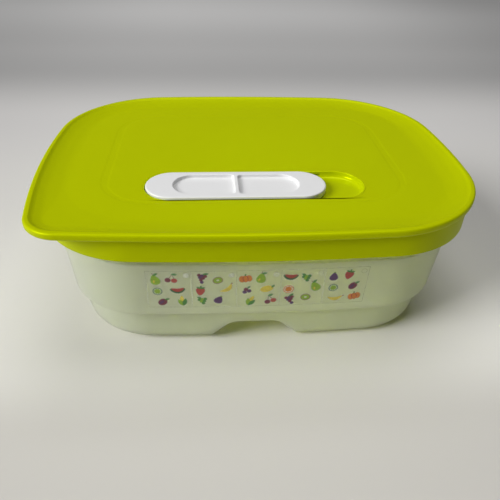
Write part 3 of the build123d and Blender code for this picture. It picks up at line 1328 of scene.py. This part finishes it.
class Motif(Enum):
    """Fruit of the chart, each drawn in a few plain shapes about 9 mm across."""

    PEAR = (Blob(Ink.LIME, 0, -0.4, 4.2, 2.9, 96, taper=-0.38), stem(-0.5, 4.2, 100),
            leaf(1.0, 4.0, 25), Blob(Ink.YELLOW, -0.9, -1.8, 1.3, 0.6, 80))
    LEMON = (Blob(Ink.YELLOW, 0, 0, 4.4, 2.8, 24, point=0.25), leaf(3.6, 2.6, 60, 1.6))
    CHERRIES = (Blob(Ink.BROWN, -0.6, 1.6, 2.6, 0.18, 70),
                Blob(Ink.BROWN, 1.2, 1.5, 2.5, 0.18, 118), Blob(Ink.MAROON, -1.7, -1.6, 1.9, 1.8),
                Blob(Ink.RED, 2.3, -1.2, 1.9, 1.8), leaf(1.4, 3.9, 10, 1.9))
    GRAPES = tuple([leaf(1.6, 3.6, 30, 2.0)]
                   + [Blob(Ink.PURPLE if (row + place) % 2 else Ink.MAROON,
                           (place - (2 - row) / 2) * 2.0, 2.0 - row * 1.8, 1.15, 1.15)
                      for row in range(4) for place in range(max(3 - row, 1))])
    CURRANTS = tuple([leaf(-1.4, 3.4, 140, 1.8)]
                     + [Blob(Ink.LIME if (row + place) % 2 else Ink.LEAF,
                             (place - (2 - row) / 2) * 1.9, 1.8 - row * 1.7, 1.1, 1.1)
                        for row in range(3) for place in range(3 - row)])
    ORANGE = (Blob(Ink.ORANGE, 0, 0, 3.4, 3.4), Blob(Ink.CREAM, 0, 0, 2.8, 2.8),
              Blob(Ink.ORANGE, 0, 0, 2.3, 2.3, lobes=8, lobe_depth=0.12))
    LIME = (Blob(Ink.FOREST, 0, 0, 3.1, 3.1), Blob(Ink.CREAM, 0, 0, 2.5, 2.5),
            Blob(Ink.LIME, 0, 0, 2.1, 2.1, lobes=8, lobe_depth=0.12))
    PLUM = (Blob(Ink.MAROON, 0, -0.3, 3.3, 2.6, 62), leaf(2.2, 2.9, 35),
            Blob(Ink.PURPLE, -0.5, -0.6, 2.0, 0.9, 62))
    STRAWBERRY = (Blob(Ink.RED, 0, -0.4, 3.5, 2.7, 270, taper=-0.35), leaf(-1.3, 2.6, 160, 1.6),
                  leaf(1.3, 2.6, 20, 1.6), leaf(0, 3.2, 90, 1.4))
    BANANA = (Blob(Ink.YELLOW, 0, -1.0, 5.0, 1.5, 20, point=0.3, bend=2.2),
              Blob(Ink.BROWN, 4.2, 2.9, 0.6, 0.5))
    PUMPKIN = (Blob(Ink.ORANGE, -2.2, 0, 2.0, 2.7), Blob(Ink.ORANGE, 2.2, 0, 2.0, 2.7),
               Blob(Ink.RED, 0, 0, 1.9, 2.9), Blob(Ink.ORANGE, 0, 0, 1.3, 2.8),
               Blob(Ink.LEAF, 0.3, 3.2, 0.9, 0.45, 70))
    CORN = (Blob(Ink.YELLOW, 0, 0.6, 4.0, 1.5, 78, taper=-0.2),
            leaf(-1.3, -1.2, 105, 3.2, Ink.LIME), leaf(1.2, -1.4, 62, 3.2))
    KIWI = (Blob(Ink.BROWN, 0, 0, 3.3, 2.8, 15), Blob(Ink.LIME, 0, 0, 2.8, 2.3, 15),
            Blob(Ink.CREAM, 0, 0, 1.0, 0.7, 15))
    MELON = (Blob(Ink.FOREST, 0, -0.9, 4.8, 2.2, 12, bend=1.6),
             Blob(Ink.RED, 0, -0.2, 4.0, 1.5, 12, bend=1.5))
    FIG = (Blob(Ink.PURPLE, 0, -0.4, 3.4, 2.5, 80, taper=-0.5), Blob(Ink.LIME, 0.7, 3.0, 0.6, 0.4))
    BERRIES = (Blob(Ink.PURPLE, -1.5, -0.8, 1.4, 1.4), Blob(Ink.PURPLE, 1.4, -0.9, 1.4, 1.4),
               Blob(Ink.MAROON, 0, 1.2, 1.4, 1.4), leaf(2.2, 2.2, 30, 1.5))


@dataclass
class Chart:
    """Printed chart on the front wall: plain fruit in five panels, with a dot for the vent."""

    tub: Tub
    left: float = -64.0
    right: float = 58.0
    bottom: float = 33.0
    top: float = 60.0
    line: float = 0.45
    halo: float = 0.45
    layer: float = 0.008
    film: float = 0.06
    scale: float = 0.86
    steps: int = 28
    upright_steps: int = 4
    level_steps: int = 60
    panels: tuple[tuple[Motif, ...], ...] = (
        (Motif.PEAR, Motif.CHERRIES, Motif.LIME, Motif.MELON, Motif.PLUM, Motif.CORN),
        (Motif.GRAPES, Motif.KIWI, Motif.STRAWBERRY, Motif.BANANA, Motif.CURRANTS, Motif.FIG),
        (Motif.PUMPKIN, Motif.PEAR, Motif.BERRIES, Motif.LEMON, Motif.CORN, Motif.CHERRIES),
        (Motif.MELON, Motif.CURRANTS, Motif.ORANGE, Motif.PEAR, Motif.GRAPES, Motif.KIWI),
        (Motif.FIG, Motif.STRAWBERRY, Motif.LIME, Motif.PLUM, Motif.BANANA, Motif.PUMPKIN))
    places: tuple[tuple[Place, ...], ...] = (
        ((-7.4, 7.6, 8), (1.2, 8.2, -12), (-6.6, -1.2, 20), (4.6, -0.2, -8), (-4.2, -9.2, -15),
         (6.6, -8.6, 14)),
        ((-6.8, 8.6, -14), (2.0, 6.8, 10), (-7.6, -1.0, -6), (7.2, 0.8, 22), (-6.4, -9.0, 12),
         (2.6, -7.6, -18)))
    dot_place: tuple[float, float] = (9.4, 10.4)
    dot_radius: float = 1.7

    def patch(self, edge: list[Vector], ink: Ink, layer: int) -> None:
        """Add a flat patch to the mesh that is being edited.

        Args:
            edge: Its outline, counter-clockwise, as X and height on the front wall.
            ink: Its ink.
            layer: Its place in the order of printing.
        """
        bpy.ops.mesh.select_all(action="DESELECT")
        bpy.ops.mesh.primitive_circle_add(vertices=len(edge), radius=SEED_SIZE, fill_type="NGON")
        mesh = bmesh.from_edit_mesh(bpy.context.object.data)
        corners = [vertex for vertex in mesh.verts if vertex.select]
        for vertex, point in zip(corners, edge):
            vertex.co = self.tub.on_front(point.x, point.y, layer * self.layer) * MM
        for face in mesh.faces:
            if face.select:
                face.material_index = list(Ink).index(ink)
        bmesh.update_edit_mesh(bpy.context.object.data)

    def rule(self, start: Vector, end: Vector, steps: int) -> None:
        """Print a straight pale line in short pieces that follow the wall."""
        sideways = Vector((start.y - end.y, end.x - start.x)).normalized() * self.line / 2
        lower = [start.lerp(end, i / steps) - sideways for i in range(steps + 1)]
        upper = [start.lerp(end, i / steps) + sideways for i in range(steps + 1)]
        for i in range(steps):
            self.patch([lower[i], lower[i + 1], upper[i + 1], upper[i]], Ink.CREAM, 1)

    def motif(self, motif: Motif, middle: Vector, turn: float) -> None:
        """Print one motif over its pale edge."""
        spin = Matrix.Rotation(math.radians(turn), 2)
        for number, (blob, growth) in enumerate([(blob, self.halo) for blob in motif.value]
                                                + [(blob, 0.0) for blob in motif.value]):
            edge = [middle + spin @ point * self.scale for point in blob.edge(growth, self.steps)]
            ink = Ink.CREAM if growth else blob.ink
            self.patch(edge, ink, 2 + number)

    def dot(self, middle: Vector, share: float) -> None:
        """Print a pale dot, or a ring with a gap that is a share of its size."""
        count = self.steps
        spokes = [Vector((math.cos(math.tau * i / count), math.sin(math.tau * i / count)))
                  for i in range(count)]
        radius = self.dot_radius
        if share == 0:
            self.patch([middle + radius * spoke for spoke in spokes], Ink.CREAM, 1)
            return
        for i in range(count):
            pair = (spokes[i], spokes[(i + 1) % count])
            inner = [middle + radius * share * spoke for spoke in pair]
            outer = [middle + radius * spoke for spoke in pair]
            self.patch([inner[0], outer[0], outer[1], inner[1]], Ink.CREAM, 1)

    def build(self) -> bpy.types.Object:
        """Print the chart as one thin film.

        Returns:
            The chart's piece.
        """
        deselect_all()
        bpy.ops.mesh.primitive_plane_add(size=SEED_SIZE)
        piece = bpy.context.object
        piece.name = "printed_chart"
        piece.data.name = piece.name
        for ink in Ink:
            piece.data.materials.append(ink.make())
        bpy.ops.object.mode_set(mode="EDIT")
        bpy.ops.mesh.delete(type="VERT")
        width = (self.right - self.left) / len(self.panels)
        middle_v = (self.top + self.bottom) / 2
        for number, motifs in enumerate(self.panels):
            middle = Vector((self.left + (number + 0.5) * width, middle_v))
            for motif, (u, v, turn) in zip(motifs, self.places[number % len(self.places)]):
                self.motif(motif, middle + Vector((u, v)), turn)
            self.dot(middle + Vector(self.dot_place), number / len(self.panels))
        for number in range(len(self.panels) + 1):
            x = self.left + number * width
            self.rule(Vector((x, self.bottom)), Vector((x, self.top)), self.upright_steps)
        for height in (self.bottom, self.top):
            self.rule(Vector((self.left, height)), Vector((self.right, height)),
                      self.level_steps)
        bpy.ops.object.mode_set(mode="OBJECT")
        activate(piece)
        film = piece.modifiers.new("film", "SOLIDIFY")
        film.thickness = self.film * MM
        film.offset = -1
        bpy.ops.object.modifier_apply(modifier=film.name)
        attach(piece, "tub")
        return piece


@dataclass(frozen=True)
class Lamp:
    """A square soft lamp. Its places and its size are in metres, and its power in watts."""

    name: str
    place: Place
    size: float
    power: float
    target: Place = (0, 0, 0.05)
    tint: str = "ffffff"

    def hang(self) -> None:
        """Hang the lamp, facing its target. The camera doesn't see it."""
        data = bpy.data.lights.new(self.name, "AREA")
        data.size = self.size
        data.energy = self.power
        data.color = hex_colour(self.tint)[:3]
        lamp = bpy.data.objects.new(self.name, data)
        lamp.location = self.place
        lamp.visible_camera = False
        lamp.rotation_mode = "QUATERNION"
        facing = Vector(self.target) - Vector(self.place)
        lamp.rotation_quaternion = facing.to_track_quat("-Z", "Y")
        bpy.context.scene.collection.objects.link(lamp)


@dataclass
class Studio:
    """The pale table with painted light and shade on it, the window light from the left, and the
    camera of the photograph.

    The last lamp stands for the light that the thin lid lets through to its own underside.
    """

    camera_place: Place = (-28.933, -301.879, 225.368)
    camera_yaw: float = 0.0956
    camera_pitch: float = 0.6187
    camera_roll: float = 0.0355
    focal_pixels: float = 504.609
    frame_pixels: float = 500.0
    sensor: float = 36.0
    clip_start: float = 0.01
    lamps: tuple[Lamp, ...] = (
        Lamp("window", (-3.25, -1.4, 2.2), 1.8, 168.0),
        Lamp("ceiling", (0.1, 0.25, 1.7), 1.2, 13.0),
        Lamp("under_lid", (0.02, -0.02, 0.06), 0.1, 0.1, (0.02, -0.019, 0.2), "fff6e6"))
    sky: float = 0.05
    table_size: float = 6.0
    table_cells: int = 8
    table_drop: float = 0.0002
    table_roughness: float = 0.6
    table_front: float = -300.0
    table_back: float = 1100.0
    table_middle: float = 80.0
    # Painted shade: the table darkens to each side of table_middle, from shade_start to shade_end
    # mm away, down to shade
    shade_start: float = 150.0
    shade_end: float = 650.0
    shade: float = 0.72
    # Table colours along its depth, in mm, as painted light and shade: a pale pool in front of the
    # keeper, darker behind it, lighter again far off
    painted_light_tones: tuple[tuple[float, str], ...] = (
        (-180, "cdcac4"), (-145, "cecbc5"), (-100, "e3e1db"), (100, "dad8d4"), (290, "d4d2d0"),
        (480, "b0afae"), (620, "bab9b8"), (980, "d8d7d6"))

    def camera(self) -> None:
        """Set up the camera."""
        yaw, pitch, roll = self.camera_yaw, self.camera_pitch, self.camera_roll
        forward = Vector((math.sin(yaw) * math.cos(pitch), math.cos(yaw) * math.cos(pitch),
                          -math.sin(pitch)))
        right = Vector((math.cos(yaw), -math.sin(yaw), 0))
        up = right.cross(forward)
        level_right = right * math.cos(roll) + up * math.sin(roll)
        level_up = up * math.cos(roll) - right * math.sin(roll)
        data = bpy.data.cameras.new("camera")
        data.sensor_width = self.sensor
        data.lens = self.focal_pixels / self.frame_pixels * self.sensor
        data.clip_start = self.clip_start
        camera = bpy.data.objects.new("camera", data)
        place = Vector(self.camera_place) * MM
        axes = Matrix((level_right, level_up, -forward)).transposed()
        camera.matrix_world = Matrix.Translation(place) @ axes.to_4x4()
        bpy.context.scene.collection.objects.link(camera)
        bpy.context.scene.camera = camera

    def light(self) -> None:
        """Set up the lamps and the sky."""
        for lamp in self.lamps:
            lamp.hang()
        world = bpy.data.worlds.new("room")
        world.use_nodes = True
        background = world.node_tree.nodes["Background"]
        background.inputs["Color"].default_value = (1, 1, 1, 1)
        background.inputs["Strength"].default_value = self.sky
        bpy.context.scene.world = world

    def table(self) -> None:
        """Lay the table: pale laminate with painted light and shade, which changes with depth and
        darkens sideways.
        """
        deselect_all()
        bpy.ops.mesh.primitive_grid_add(x_subdivisions=self.table_cells,
                                        y_subdivisions=self.table_cells, size=self.table_size,
                                        location=(0, 0, -self.table_drop))
        table = bpy.context.object
        table.name = "table"
        bpy.ops.object.transform_apply(location=True, rotation=False, scale=False)
        material, tree = new_material("table_laminate_painted_light")
        shader = tree.nodes["Principled BSDF"]
        axes = add_node(tree, "ShaderNodeSeparateXYZ", {}, {"Vector": object_coords(tree)})
        depth = add_node(tree, "ShaderNodeMapRange",
                         {"From Min": self.table_front * MM, "From Max": self.table_back * MM},
                         {"Value": axes.outputs["Y"]})
        # Painted light and shade along the table's depth
        painted_light_ramp = add_node(tree, "ShaderNodeValToRGB", {}, {"Fac": depth.outputs["Result"]})
        ramp = painted_light_ramp.color_ramp
        ramp.interpolation = "EASE"
        span = self.table_back - self.table_front
        while len(ramp.elements) < len(self.painted_light_tones):
            ramp.elements.new(0.5)
        for stop, (place, shade) in zip(ramp.elements, self.painted_light_tones):
            stop.position = (place - self.table_front) / span
            stop.color = hex_colour(shade)
        # Painted shade that darkens the table sideways
        aside = add_node(tree, "ShaderNodeMath", {"operation": "SUBTRACT"},
                         {0: axes.outputs["X"]})
        aside.inputs[1].default_value = self.table_middle * MM
        away = add_node(tree, "ShaderNodeMath", {"operation": "ABSOLUTE"},
                        {0: aside.outputs["Value"]})
        edge = add_node(tree, "ShaderNodeMapRange",
                        {"interpolation_type": "SMOOTHSTEP",
                         "From Min": self.shade_start * MM, "From Max": self.shade_end * MM,
                         "To Min": 1.0, "To Max": self.shade}, {"Value": away.outputs["Value"]})
        shaded = add_node(tree, "ShaderNodeHueSaturation", {},
                          {"Value": edge.outputs["Result"], "Color": painted_light_ramp.outputs["Color"]})
        tree.links.new(shaded.outputs["Color"], shader.inputs["Base Color"])
        shader.inputs["Roughness"].default_value = self.table_roughness
        dress(table, material)


def main() -> None:
    """Build the keeper and the studio, and report each piece."""
    logging.basicConfig(level=logging.INFO, format="%(name)s: %(message)s")
    plan = BowedPlan()
    tub = Tub(plan)
    for part in (Lid(plan), VentBed(), VentSlider(), tub, Chart(tub)):
        piece = part.build()
        log.info("%s: %d faces", piece.name, len(piece.data.polygons))
    studio = Studio()
    studio.camera()
    studio.light()
    studio.table()
    bpy.context.scene.view_settings.view_transform = "Standard"


if __name__ == "__main__":
    main()
